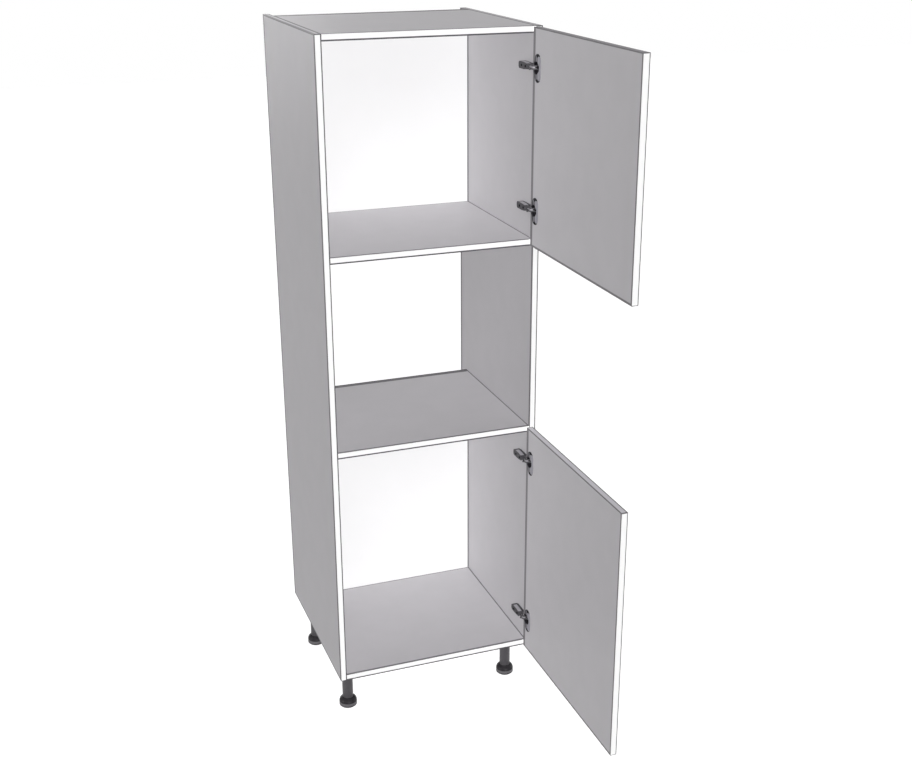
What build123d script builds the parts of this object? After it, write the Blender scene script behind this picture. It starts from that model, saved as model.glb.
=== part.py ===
from build123d import *
from collections import namedtuple
from math import atan2, cos, degrees, dist, radians, sin
import os

# Oven housing unit: a tall cabinet for a built-in oven, on four adjustable legs,
# with a hinged door above the oven bay and one below it.
# The origin lies on the floor. X runs to the cabinet's right as one faces it,
# Y runs from the front to the back, Z runs up.

ScrewSize = namedtuple("ScrewSize", "radius length head_radius head_height")

# Carcass
carcass_width = 600.0
carcass_depth = 560.0
carcass_height = 1820.0
board = 18.0
service_void = 50.0
edging = 1.0

# Wooden dowels that join the boards
dowel_radius = 4.0
dowel_length = 30.0
dowel_in_face = 11.0
dowel_fit = 0.1
dowel_hole_spare = 1.0
shelf_dowel_shares = (0.12, 0.5, 0.88)
back_dowel_shares = (0.08, 0.36, 0.64, 0.92)

# Adjustable legs
leg_height = 150.0
leg_from_side = 45.0
leg_from_front = 100.0
leg_from_rear = 80.0
stem_radius = 16.0
stem_wall = 2.5
stem_fit = 0.1
socket_plate = 64.0
socket_plate_thickness = 3.5
socket_corner = 8.0
socket_sleeve_wall = 3.0
socket_sleeve_length = 30.0
socket_screw_inset = 8.0
socket_screw = ScrewSize(radius=2.0, length=15.0, head_radius=3.8, head_height=2.4)
foot_radius = 26.5
foot_rim = 15.0
foot_chamfer = 3.5
foot_bulge = 2.0
foot_height = 29.0
foot_collar = 1.0
foot_gap = 0.3
shank_fit = 0.3
shank_length = 70.0
groove_depth = 1.0
groove_width = 2.0
groove_pitch = 6.0
groove_count = 10

# Screws sit in holes a little wider and longer, and have a cross recess
screw_fit = 0.1
screw_hole_spare = 1.0
recess_width = 0.8
recess_depth = 0.8
head_rounding_share = 0.5

# Doors
door_width = 596.0
door_thickness = 18.0
lower_door_height = 715.0
upper_door_height = 570.0
door_reveal = 2.0
door_gap = 2.0
shown_opening = 90.0
widest_opening = 95.0
# How far each closed door laps the front edge of the shelf beside the oven bay
lower_door_lap = 15.0
upper_door_lap = 17.0

# Concealed hinges. Their own places are given as (u, v) with the door closed:
# u runs along X from the inner face of the right side, v runs along Y from the
# front of the carcass. Heights are counted from the middle of the hinge.
# Each hinge is a linkage: an inner and an outer link, both pivoted on the arm,
# carry the cup by one pin each.
hinge_from_door_end = 100.0
arm_inner_pin = (-9.72, 11.9)
arm_outer_pin = (-17.73, -0.79)
cup_inner_pin = (7.02, -6.65)
cup_outer_pin = (3.1, -9.72)
inner_elbow = (-1.15, -9.06)
# This elbow is given with the door at the shown opening
outer_elbow = (-12.72, -14.37)
# Turn of each link for each degree that the door turns
inner_turn_share = -1 / 3
outer_turn_share = -0.22
slot_angle = 80.5
slot_fit = 0.3
slot_samples = 38
pin_radius = 1.2
pin_fit = 0.05
eye_radius = 2.3
link_half_width = 1.5

# Layers of the linkage, counted outwards from the middle of the hinge
cup_lug_half = 1.5
layer_gap = 0.3
fork_play = 0.8
inner_link_half = 3.6
outer_link_sheet = 1.5
arm_sheet = 1.2

# Hinge arm and its mounting plate
arm_rise = 20.5
arm_foot = 3.5
arm_front = 12.0
arm_web_front = 14.5
arm_shoulder = 30.0
arm_rear = 66.0
arm_half_width = 9.0
arm_corner = 6.0
arm_screw_setback = 20.0
arm_screw_pitch = 26.0
arm_screw = ScrewSize(radius=2.0, length=9.0, head_radius=3.4, head_height=1.8)
post_length = 8.0
post_half_width = 5.0
plate_front = 13.0
plate_length = 52.0
plate_half_width = 7.5
plate_thickness = 3.0
plate_screw_setback = 28.5
plate_screw_pitch = 32.0
plate_screw = ScrewSize(radius=1.75, length=13.0, head_radius=3.4, head_height=1.8)

# Hinge cup, with a flange that lies further from the door's edge than the bowl
cup_from_edge = 21.5
cup_radius = 17.4
cup_wall = 0.8
cup_depth = 12.6
cup_fit = 0.1
cup_lug_angle = -20.0
cup_pin_length = 5.0
flange_thickness = 1.2
flange_half_width = 19.0
flange_offset = 9.0
flange_rim_radius = 18.6
flange_notch_half = 7.5
cup_screw_spacing = 60.0
cup_screw_from_flange_end = 6.0
cup_screw = ScrewSize(radius=1.75, length=11.0, head_radius=3.4, head_height=1.8)


def block(x_span, y_span, z_span):
    """Box between two limits along each axis."""
    spans = (x_span, y_span, z_span)
    middle = [(low + high) / 2 for low, high in spans]
    size = [high - low for low, high in spans]
    return Pos(*middle) * Box(*size)


def rod(start, towards, radius, length):
    """Round rod that starts at a point and runs along a direction."""
    base = Plane(origin=start, z_dir=towards)
    return base * Cylinder(radius, length, align=(Align.CENTER, Align.CENTER, Align.MIN))


def bar(points, half_width, z_span):
    """Flat bar with rounded ends and bends, through points seen from above."""
    outline = Sketch()
    for start, end in zip(points, points[1:]):
        middle = [(start[axis] + end[axis]) / 2 for axis in (0, 1)]
        angle = degrees(atan2(end[1] - start[1], end[0] - start[0]))
        stadium = SlotCenterToCenter(dist(start, end), 2 * half_width)
        outline += Pos(*middle) * Rot(0, 0, angle) * stadium
    return extrude(Pos(0, 0, z_span[0]) * outline, z_span[1] - z_span[0])


def pillar(point, radius, z_span):
    """Upright round pillar over a point seen from above."""
    return rod((*point, z_span[0]), (0, 0, 1), radius, z_span[1] - z_span[0])


def both_ways(low, high):
    """The layer between two heights and its mirror image below the middle."""
    return ((low, high), (-high, -low))


def turned(point, angle, centre):
    """A point turned about a centre, seen from above."""
    c, s = cos(radians(angle)), sin(radians(angle))
    across, along = point[0] - centre[0], point[1] - centre[1]
    return (centre[0] + c * across - s * along, centre[1] + s * across + c * along)


def screw(seat, outward, size):
    """Screw whose head stands outward from its seat, with a cross recess."""
    head = Cylinder(size.head_radius, size.head_height, align=(Align.CENTER, Align.CENTER, Align.MIN))
    head = fillet(head.edges().sort_by(Axis.Z)[-1], size.head_height * head_rounding_share)
    for width, breadth in ((recess_width, size.head_radius), (size.head_radius, recess_width)):
        head -= Pos(0, 0, size.head_height - recess_depth / 2) * Box(width, breadth, recess_depth)
    shank = Cylinder(size.radius, size.length, align=(Align.CENTER, Align.CENTER, Align.MAX))
    return Plane(origin=seat, z_dir=outward) * (head + shank)


def screw_hole(seat, outward, size):
    """Hole for the shank of a screw."""
    inward = tuple(-part for part in outward)
    return rod(seat, inward, size.radius + screw_fit, size.length + screw_hole_spare)


def inner_pin_at(opening):
    """Place of the cup's inner pin at a door opening."""
    return turned(cup_inner_pin, inner_turn_share * opening, arm_inner_pin)


def door_point_at(point, opening):
    """Place of a point of the closed door at a door opening."""
    hub = inner_pin_at(opening)
    shifted = (point[0] - cup_inner_pin[0] + hub[0], point[1] - cup_inner_pin[1] + hub[1])
    return turned(shifted, opening, hub)


# Limits of the carcass
door_edge = board - door_reveal
door_reach = door_width - door_point_at((door_edge, -door_gap), shown_opening)[1]
front = (door_reach - carcass_depth) / 2
rear = front + carcass_depth
right = carcass_width / 2
inner_right = right - board
bottom = leg_height
top = bottom + carcass_height
back_face = rear - service_void - board
back_rear = back_face + board

# Boards and their spans, without the edging
inside = (-inner_right, inner_right)
board_reach = (front + edging, back_face)
upper_shelf_top = top - door_reveal - upper_door_height + upper_door_lap
oven_shelf_underside = bottom + door_reveal + lower_door_height - lower_door_lap
upper_shelf_height = (upper_shelf_top - board, upper_shelf_top)
oven_shelf_height = (oven_shelf_underside, oven_shelf_underside + board)
cross_boards = {
    "top_panel": (top - board, top),
    "upper_shelf": upper_shelf_height,
    "oven_shelf": oven_shelf_height,
    "base_panel": (bottom, bottom + board),
}
back_panels = {
    "back_panel_upper": (upper_shelf_height[0], top),
    "back_panel_lower": (bottom, oven_shelf_height[1]),
}
sides = {"side_left": -1, "side_right": 1}

parts = {}
for name, hand in sides.items():
    span = sorted((hand * inner_right, hand * right))
    parts[name] = block(span, (front + edging, rear), (bottom, top))
    parts[name + "_edging"] = block(span, (front, front + edging), (bottom, top))
for name, height in cross_boards.items():
    parts[name] = block(inside, board_reach, height)
    parts[name + "_edging"] = block(inside, (front, front + edging), height)
for name, height in back_panels.items():
    parts[name] = block(inside, (back_face, back_rear), height)

# Dowels between the sides and every board that runs across
dowel_places = []
for name, height in cross_boards.items():
    for share in shelf_dowel_shares:
        along = board_reach[0] + share * (board_reach[1] - board_reach[0])
        dowel_places.append((name, along, (height[0] + height[1]) / 2))
for name, height in back_panels.items():
    for share in back_dowel_shares:
        up = height[0] + share * (height[1] - height[0])
        dowel_places.append((name, (back_face + back_rear) / 2, up))

buried_end = inner_right + dowel_in_face
hole_radius = dowel_radius + dowel_fit
hole_length = dowel_length + 2 * dowel_hole_spare
dowels = []
for side_name, hand in sides.items():
    for board_name, y, z in dowel_places:
        dowels.append(rod((hand * buried_end, y, z), (-hand, 0, 0), dowel_radius, dowel_length))
        hole_end = hand * (buried_end + dowel_hole_spare)
        hole = rod((hole_end, y, z), (-hand, 0, 0), hole_radius, hole_length)
        parts[side_name] -= hole
        parts[board_name] -= hole
parts["carcass_dowels"] = Compound(dowels)

# Foot of a leg: a disc with a domed top and a grooved shank
shank_radius = stem_radius - stem_wall - shank_fit
collar_radius = stem_radius + foot_collar
shank_top = foot_height + shank_length
shank_outline = []
for groove in range(groove_count):
    low = foot_height + (groove + 1) * groove_pitch
    high = low + groove_width
    core_radius = shank_radius - groove_depth
    shank_outline += [(shank_radius, low), (core_radius, low), (core_radius, high), (shank_radius, high)]
below_dome = [
    (0, 0),
    (foot_radius - foot_chamfer, 0),
    (foot_radius, foot_chamfer),
    (foot_radius, foot_rim),
]
dome_middle = (
    (foot_radius + collar_radius) / 2 + foot_bulge,
    (foot_rim + foot_height) / 2 + foot_bulge,
)
above_dome = [
    (collar_radius, foot_height),
    (shank_radius, foot_height),
    *shank_outline,
    (shank_radius, shank_top),
    (0, shank_top),
    (0, 0),
]
dome = ThreePointArc(below_dome[-1], dome_middle, above_dome[0])
foot_edge = Polyline(*below_dome) + dome + Polyline(*above_dome)
foot = revolve(Plane.XZ * make_face(foot_edge), Axis.Z)

# Stem and socket of a leg
seat_height = bottom - socket_plate_thickness
stem_span = (foot_height + foot_gap, seat_height)
stem = pillar((0, 0), stem_radius, stem_span) - pillar((0, 0), stem_radius - stem_wall, stem_span)
sleeve_span = (seat_height - socket_sleeve_length, seat_height)
socket_bore = stem_radius + stem_fit
socket_outline = RectangleRounded(socket_plate, socket_plate, socket_corner)
socket = extrude(Pos(0, 0, seat_height) * socket_outline, socket_plate_thickness)
socket += pillar((0, 0), socket_bore + socket_sleeve_wall, sleeve_span)
socket -= pillar((0, 0), socket_bore, sleeve_span)

leg_x = right - leg_from_side
leg_places = {
    "front_left": (-leg_x, front + leg_from_front),
    "front_right": (leg_x, front + leg_from_front),
    "rear_left": (-leg_x, rear - leg_from_rear),
    "rear_right": (leg_x, rear - leg_from_rear),
}
screw_offset = socket_plate / 2 - socket_screw_inset
socket_screws = []
for place_name, (x, y) in leg_places.items():
    leg_socket = Pos(x, y, 0) * socket
    for screw_x in (x - screw_offset, x + screw_offset):
        for screw_y in (y - screw_offset, y + screw_offset):
            seat = (screw_x, screw_y, seat_height)
            socket_screws.append(screw(seat, (0, 0, -1), socket_screw))
            hole = screw_hole(seat, (0, 0, -1), socket_screw)
            leg_socket -= hole
            holder = "base_panel" if screw_y < back_face else "back_panel_lower"
            parts[holder] -= hole
    parts["leg_socket_" + place_name] = leg_socket
    parts["leg_stem_" + place_name] = Pos(x, y, 0) * stem
    parts["leg_foot_" + place_name] = Pos(x, y, 0) * foot
parts["leg_socket_screws"] = Compound(socket_screws)

# Layers of the hinge
outer_link_low = inner_link_half + layer_gap
outer_link_high = outer_link_low + outer_link_sheet
cheek_low = outer_link_high + layer_gap
cheek_high = cheek_low + arm_sheet
bore_radius = pin_radius + pin_fit
inner_layer = (-inner_link_half, inner_link_half)

# Inner link with the door closed: a bent bar with a fork round the cup's lug
inner_link = bar((arm_inner_pin, inner_elbow, cup_inner_pin), link_half_width, inner_layer)
for pin_place in (arm_inner_pin, cup_inner_pin):
    inner_link += pillar(pin_place, eye_radius, inner_layer)
    inner_link -= pillar(pin_place, bore_radius, inner_layer)
fork_half = cup_lug_half + layer_gap
inner_link -= pillar(cup_inner_pin, eye_radius + fork_play, (-fork_half, fork_half))

# Outer link at the shown opening: two plates, each with a slot for the cup's
# outer pin, as long as the pin's path over the whole travel
slot_path = []
for sample in range(slot_samples + 1):
    opening = widest_opening * sample / slot_samples
    turn_back = outer_turn_share * (shown_opening - opening)
    pin_place = turned(door_point_at(cup_outer_pin, opening), turn_back, arm_outer_pin)
    slot_path.append(turned(pin_place, -slot_angle, arm_outer_pin))
slot_limits = [(min(values), max(values)) for values in zip(*slot_path)]
slot_half_length, slot_half_play = [(high - low) / 2 for low, high in slot_limits]
slot_middle = turned([(low + high) / 2 for low, high in slot_limits], slot_angle, arm_outer_pin)
slot_ends = [
    turned((slot_middle[0] + reach, slot_middle[1]), slot_angle, slot_middle)
    for reach in (-slot_half_length, slot_half_length)
]
outer_plates = []
for layer in both_ways(outer_link_low, outer_link_high):
    plate = bar((arm_outer_pin, outer_elbow, slot_middle), link_half_width, layer)
    plate += pillar(arm_outer_pin, eye_radius, layer)
    plate += bar(slot_ends, eye_radius + slot_half_play, layer)
    plate -= pillar(arm_outer_pin, bore_radius, layer)
    plate -= bar(slot_ends, pin_radius + slot_half_play + slot_fit, layer)
    outer_plates.append(plate)
outer_link = Compound(outer_plates)


def arm_solid(inset, u_span):
    """Arm seen from inside the cabinet: narrow in front, rounded at the rear."""
    half = arm_half_width - inset
    nose_half = cheek_high - inset
    rear_end = arm_rear - inset
    outline = Polygon(
        (arm_front, -nose_half),
        (arm_shoulder, -half),
        (rear_end, -half),
        (rear_end, half),
        (arm_shoulder, half),
        (arm_front, nose_half),
        align=None,
    )
    outline = fillet(outline.vertices().group_by(Axis.X)[-1], arm_corner - inset)
    lying = Plane(origin=(u_span[0], 0, 0), x_dir=(0, 1, 0), z_dir=(1, 0, 0))
    return extrude(lying * outline, u_span[1] - u_span[0])


# Arm: a channel with two cheeks that run forward to the pins
web_inner = arm_sheet - arm_rise
arm = arm_solid(0, (-arm_rise, -arm_foot)) - arm_solid(arm_sheet, (web_inner, -arm_foot))
arm -= block((-arm_rise, web_inner), (arm_front, arm_web_front), (-cheek_low, cheek_low))
nose_root = ((web_inner - arm_foot) / 2, arm_web_front)
for layer in both_ways(cheek_low, cheek_high):
    arm += bar((arm_outer_pin, arm_inner_pin, nose_root), eye_radius, layer)
arm_pins = [pillar(arm_inner_pin, pin_radius, (-cheek_high, cheek_high))]
for layer in both_ways(outer_link_low, cheek_high):
    arm_pins.append(pillar(arm_outer_pin, pin_radius, layer))
for pin in arm_pins:
    arm -= pin

# Mounting plate with a post under each arm screw
plate_ends = [
    (plate_front + plate_half_width, 0),
    (plate_front + plate_length - plate_half_width, 0),
]
lying_plate = Plane(origin=(0, 0, 0), x_dir=(0, 1, 0), z_dir=(1, 0, 0))
mounting_plate = lying_plate * bar(plate_ends, plate_half_width, (-plate_thickness, 0))
arm_screws, plate_screws, plate_screw_holes = [], [], []
for setback in (arm_screw_setback, arm_screw_setback + arm_screw_pitch):
    post_span = (setback - post_length / 2, setback + post_length / 2)
    post_width = (-post_half_width, post_half_width)
    mounting_plate += block((web_inner, -plate_thickness), post_span, post_width)
    seat = (-arm_rise, setback, 0)
    arm_screws.append(screw(seat, (-1, 0, 0), arm_screw))
    hole = screw_hole(seat, (-1, 0, 0), arm_screw)
    arm -= hole
    mounting_plate -= hole
for setback in (plate_screw_setback, plate_screw_setback + plate_screw_pitch):
    seat = (-plate_thickness, setback, 0)
    plate_screws.append(screw(seat, (-1, 0, 0), plate_screw))
    hole = screw_hole(seat, (-1, 0, 0), plate_screw)
    plate_screw_holes.append(hole)
    mounting_plate -= hole

# Cup with the door closed: a bowl with two flange wings
cup_u = door_edge - cup_from_edge
door_inner_face = -door_gap
cup_mouth = (cup_u, door_inner_face, 0)
bowl_depth = cup_depth + cup_wall
hollow_radius = cup_radius - cup_wall
bowl = rod(cup_mouth, (0, -1, 0), cup_radius, bowl_depth)
cup = bowl - rod(cup_mouth, (0, -1, 0), hollow_radius, cup_depth)
flange_length = cup_screw_spacing + 2 * cup_screw_from_flange_end
flange = Pos(-flange_offset, 0) * Rot(0, 0, 90) * SlotOverall(flange_length, 2 * flange_half_width)
flange += Circle(flange_rim_radius)
flange -= Circle(hollow_radius)
flange -= Rectangle(2 * flange_rim_radius, 2 * flange_notch_half)
flange_base = Plane(origin=cup_mouth, x_dir=(1, 0, 0), z_dir=(0, 1, 0))
cup += extrude(flange_base * flange, flange_thickness)

# Lugs in the cup: one in the middle for the inner pin, two beside it for the outer
lug_reach = (cup_inner_pin[0] + hollow_radius, cup_inner_pin[1])
lug_end = turned(lug_reach, cup_lug_angle, cup_inner_pin)
middle_lug = bar((cup_inner_pin, lug_end), eye_radius, (-cup_lug_half, cup_lug_half))
cup += middle_lug & bowl
side_lug_foot = (cup_outer_pin[0], door_inner_face - cup_depth)
for layer in both_ways(cheek_low, cup_radius):
    cup += bar((cup_outer_pin, side_lug_foot), eye_radius, layer) & bowl
cup_pins = [pillar(cup_inner_pin, pin_radius, inner_layer)]
for layer in both_ways(outer_link_low, outer_link_low + cup_pin_length):
    cup_pins.append(pillar(cup_outer_pin, pin_radius, layer))
for pin in cup_pins:
    cup -= pin

cup_screws = []
cup_holes = [rod(cup_mouth, (0, -1, 0), cup_radius + cup_fit, bowl_depth + cup_fit)]
for height in (-cup_screw_spacing / 2, cup_screw_spacing / 2):
    seat = (cup_u - flange_offset, door_inner_face + flange_thickness, height)
    cup_screws.append(screw(seat, (0, 1, 0), cup_screw))
    hole = screw_hole(seat, (0, 1, 0), cup_screw)
    cup_holes.append(hole)
    cup -= hole

# Doors and hinges, carried from the closed pose to the shown opening
at_hinge_line = Pos(inner_right, front, 0)
hub_shown = inner_pin_at(shown_opening)
from_hub = Pos(-cup_inner_pin[0], -cup_inner_pin[1], 0)
door_swing = at_hinge_line * Pos(*hub_shown, 0) * Rot(0, 0, shown_opening) * from_hub
from_arm_pin = Pos(-arm_inner_pin[0], -arm_inner_pin[1], 0)
link_turn = Rot(0, 0, inner_turn_share * shown_opening)
link_swing = at_hinge_line * Pos(*arm_inner_pin, 0) * link_turn * from_arm_pin
door_heights = {
    "upper": (top - door_reveal - upper_door_height, top - door_reveal),
    "lower": (bottom + door_reveal, bottom + door_reveal + lower_door_height),
}
outer_span = (door_edge - door_width, door_edge)
core_span = (outer_span[0] + edging, outer_span[1] - edging)
thickness_span = (door_inner_face - door_thickness, door_inner_face)
all_plate_screws, all_arm_screws, all_arm_pins = [], [], []
for door_name, (low, high) in door_heights.items():
    core = block(core_span, thickness_span, (low + edging, high - edging))
    rim = block(outer_span, thickness_span, (low, high)) - core
    door_screws, door_pins = [], []
    hinge_heights = {"top": high - hinge_from_door_end, "bottom": low + hinge_from_door_end}
    for end_name, height in hinge_heights.items():
        hinge = f"{door_name}_{end_name}"
        level = Pos(0, 0, height)
        for hole in cup_holes:
            core -= level * hole
        for hole in plate_screw_holes:
            parts["side_right"] -= at_hinge_line * level * hole
        parts["hinge_arm_" + hinge] = at_hinge_line * level * arm
        parts["hinge_plate_" + hinge] = at_hinge_line * level * mounting_plate
        parts["hinge_inner_link_" + hinge] = link_swing * level * inner_link
        parts["hinge_outer_link_" + hinge] = at_hinge_line * level * outer_link
        parts["hinge_cup_" + hinge] = door_swing * level * cup
        door_screws += [door_swing * level * piece for piece in cup_screws]
        door_pins += [door_swing * level * piece for piece in cup_pins]
        all_plate_screws += [at_hinge_line * level * piece for piece in plate_screws]
        all_arm_screws += [at_hinge_line * level * piece for piece in arm_screws]
        all_arm_pins += [at_hinge_line * level * piece for piece in arm_pins]
    parts["door_" + door_name] = door_swing * core
    parts[f"door_{door_name}_edging"] = door_swing * rim
    parts[f"door_{door_name}_cup_screws"] = Compound(door_screws)
    parts[f"door_{door_name}_cup_pins"] = Compound(door_pins)
parts["hinge_plate_screws"] = Compound(all_plate_screws)
parts["hinge_arm_screws"] = Compound(all_arm_screws)
parts["hinge_arm_pins"] = Compound(all_arm_pins)

os.makedirs("parts", exist_ok=True)
for name, shape in parts.items():
    export_step(shape, f"parts/{name}.step")
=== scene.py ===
"""Oven housing unit: the look of its boards, doors, hinges and legs."""

import functools
import logging
import math
from dataclasses import dataclass, replace
from enum import Enum, StrEnum
from typing import Optional, Sequence, Union

import bpy
import numpy as np
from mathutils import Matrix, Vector


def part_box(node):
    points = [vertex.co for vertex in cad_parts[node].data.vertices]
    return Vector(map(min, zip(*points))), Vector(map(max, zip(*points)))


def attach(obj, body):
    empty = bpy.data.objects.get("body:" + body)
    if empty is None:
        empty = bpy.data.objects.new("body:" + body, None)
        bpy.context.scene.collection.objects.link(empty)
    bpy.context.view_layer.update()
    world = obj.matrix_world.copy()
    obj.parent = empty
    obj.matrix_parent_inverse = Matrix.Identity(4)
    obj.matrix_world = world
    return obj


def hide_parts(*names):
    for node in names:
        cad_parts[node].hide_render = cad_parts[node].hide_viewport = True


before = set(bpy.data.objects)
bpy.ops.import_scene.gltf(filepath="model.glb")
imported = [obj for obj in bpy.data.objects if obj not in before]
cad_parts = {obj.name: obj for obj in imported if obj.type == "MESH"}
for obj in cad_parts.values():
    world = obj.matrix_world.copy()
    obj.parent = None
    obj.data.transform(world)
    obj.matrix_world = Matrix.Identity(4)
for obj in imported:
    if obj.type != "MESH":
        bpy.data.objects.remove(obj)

log = logging.getLogger("oven_housing_unit")

Colour = tuple[float, float, float]
Point = tuple[float, float, float]
PlanePoint = tuple[float, float]
Span = tuple[float, float]
Socket = bpy.types.NodeSocket
Value = Union[float, Socket]

WHITE = (1.0, 1.0, 1.0, 1.0)
# Names of the two sets of border distances that a lined mesh carries.
BORDER_LAYERS = ("from_low", "from_high")
# Points are merged where they fall in the same cell; this is the number of cells to a metre.
WELD_CELLS = 1e5
# The dark border line, partly a joint line and partly painted shade, passes into the face between these
# distances, in widths of the line.
LINE_EDGE: Span = (0.8, 1.15)
# Noise values between which a soft, a streaked or a speckled pattern runs through its range.
SOFT_NOISE: Span = (0.3, 0.7)
STREAK_NOISE: Span = (0.35, 0.7)
SPECK_NOISE: Span = (0.45, 0.7)


class Axis(Enum):
    """The axes of the frame, with their number in a point."""

    X = 0
    Y = 1
    Z = 2


class Corner(StrEnum):
    """The corners of the base, as the legs' names give them."""

    FRONT_LEFT = "front_left"
    FRONT_RIGHT = "front_right"
    REAR_LEFT = "rear_left"
    REAR_RIGHT = "rear_right"


class HingePlace(StrEnum):
    """The places of the hinges: the door, then its top or its bottom."""

    UPPER_TOP = "upper_top"
    UPPER_BOTTOM = "upper_bottom"
    LOWER_TOP = "lower_top"
    LOWER_BOTTOM = "lower_bottom"


def linear(shade: Colour) -> tuple[float, float, float, float]:
    """Turns a screen colour into the linear colour that a shader takes.

    The curve is the usual one for screens: a straight line for the darkest values and a
    power of 2.4 above them.

    Args:
        shade: red, green and blue on the scale from 0 to 255.

    Returns:
        The linear red, green, blue and an alpha of one.
    """
    parts = np.array(shade) / 255.0
    low = parts / 12.92
    high = ((parts + 0.055) / 1.055) ** 2.4
    red, green, blue = np.where(parts <= 0.04045, low, high)
    return (float(red), float(green), float(blue), 1.0)


@dataclass
class Surface:
    """Quads, with what their shading and the lines on them need.

    normals holds the direction at each point, or None where the mesh works it out. from_low and
    from_high hold, for each corner of each quad, how far the corner lies from the low and from
    the high borders of its face, in widths of the line drawn there, or None without lines.
    """

    points: np.ndarray
    quads: np.ndarray
    normals: Optional[np.ndarray] = None
    from_low: Optional[np.ndarray] = None
    from_high: Optional[np.ndarray] = None


def joined(surfaces: Sequence[Surface]) -> Surface:
    """Puts several lined surfaces into one.

    Args:
        surfaces: the surfaces, all with normals and border distances.

    Returns:
        One surface that holds all their quads.
    """
    starts = np.cumsum([0] + [len(surface.points) for surface in surfaces[:-1]])
    return Surface(
        points=np.concatenate([surface.points for surface in surfaces]),
        quads=np.concatenate([surface.quads + start for surface, start in zip(surfaces, starts)]),
        normals=np.concatenate([surface.normals for surface in surfaces]),
        from_low=np.concatenate([surface.from_low for surface in surfaces]),
        from_high=np.concatenate([surface.from_high for surface in surfaces]),
    )


def grid_quads(rows: int, columns: int) -> np.ndarray:
    """Numbers the quads of a grid of points stored row by row.

    Args:
        rows: number of rows of points.
        columns: number of points in each row.

    Returns:
        The four point numbers of each quad, one quad to a row.
    """
    first = np.arange(rows * columns).reshape(rows, columns)[:-1, :-1].ravel()
    return np.stack([first, first + columns, first + columns + 1, first + 1], axis=1)


def welded(surface: Surface) -> Surface:
    """Merges points that lie in the same place, to a hundredth of a millimetre.

    Args:
        surface: a surface whose patches meet along their borders.

    Returns:
        The same surface with closed seams.
    """
    cells = np.round(surface.points * WELD_CELLS).astype(np.int64)
    _, kept, places = np.unique(cells, axis=0, return_index=True, return_inverse=True)
    return replace(
        surface,
        points=surface.points[kept],
        quads=places.reshape(-1)[surface.quads],
        normals=None if surface.normals is None else surface.normals[kept],
    )


@dataclass(frozen=True)
class BorderLine:
    """Widths of the dark border line, partly a joint line and partly painted shade, along the low and
    high borders of a face, along x, y and z.
    """

    low: Point
    high: Point


def rounded_slab(low: Point, high: Point, arris: float, line: BorderLine, steps: int = 2) -> Surface:
    """Works out a box with rounded edges and corners.

    Each of the six sides is a grid of two directions a and b. A point is the nearest point of
    the box shrunk by the arris radius, plus that radius times the unit vector (a, b, 1), where
    a and b run as tangents from -1 to 1 over the two arrises and are nought on the flat.

    Args:
        low: lowest corner of the box.
        high: highest corner of the box.
        arris: radius of the rounded edges.
        line: widths of the dark border line, partly joint line and partly painted shade.
        steps: quads across half of an arris.

    Returns:
        The closed surface, with border distances.
    """
    low_corner, high_corner = np.array(low), np.array(high)
    low_widths, high_widths = np.array(line.low), np.array(line.high)
    inner_low, inner_high = low_corner + arris, high_corner - arris
    ends = np.repeat([inner_low, inner_high], steps + 1, axis=0)
    bend = np.tan(np.linspace(0.0, math.pi / 4, steps + 1))
    lean = np.concatenate([-bend[::-1], bend])
    size = len(lean)
    quads = grid_quads(size, size)
    patches = []
    for across in range(3):
        for outward in (-1, 1):
            axes = [(across + 1) % 3, (across + 2) % 3]
            if outward < 0:
                axes.reverse()
            first, second = axes
            direction = np.empty((size, size, 3))
            direction[..., first] = lean[:, None]
            direction[..., second] = lean[None, :]
            direction[..., across] = outward
            direction /= np.linalg.norm(direction, axis=2, keepdims=True)
            base = np.empty((size, size, 3))
            base[..., first] = ends[:, None, first]
            base[..., second] = ends[None, :, second]
            base[..., across] = inner_high[across] if outward > 0 else inner_low[across]
            points = (base + arris * direction).reshape(-1, 3)
            corners = points[quads][:, :, axes]
            patches.append(
                Surface(
                    points=points,
                    quads=quads,
                    normals=direction.reshape(-1, 3),
                    from_low=(corners - low_corner[axes]) / low_widths[axes],
                    from_high=(high_corner[axes] - corners) / high_widths[axes],
                )
            )
    return welded(joined(patches))


def turned_solid(outline: Sequence[PlanePoint], centre: PlanePoint, sides: int) -> Surface:
    """Turns an outline about an upright line.

    A point is the centre plus the outline's radius times (cos, sin) of the angle, at the
    outline's height. The outline starts and ends on the line, so the poles are closed, or it is
    closed in itself.

    Args:
        outline: radius and height of each point, with the outside on its right.
        centre: x and y of the upright line.
        sides: number of steps round.

    Returns:
        The closed surface, without normals and border distances.
    """
    radii, heights = np.array(outline).T
    angles = np.linspace(0.0, 2 * math.pi, sides + 1)
    across = centre[0] + radii[:, None] * np.cos(angles)
    along = centre[1] + radii[:, None] * np.sin(angles)
    upward = np.broadcast_to(heights[:, None], across.shape)
    points = np.stack([across, along, upward], axis=2).reshape(-1, 3)
    return welded(Surface(points=points, quads=grid_quads(*across.shape)[:, ::-1]))


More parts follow.
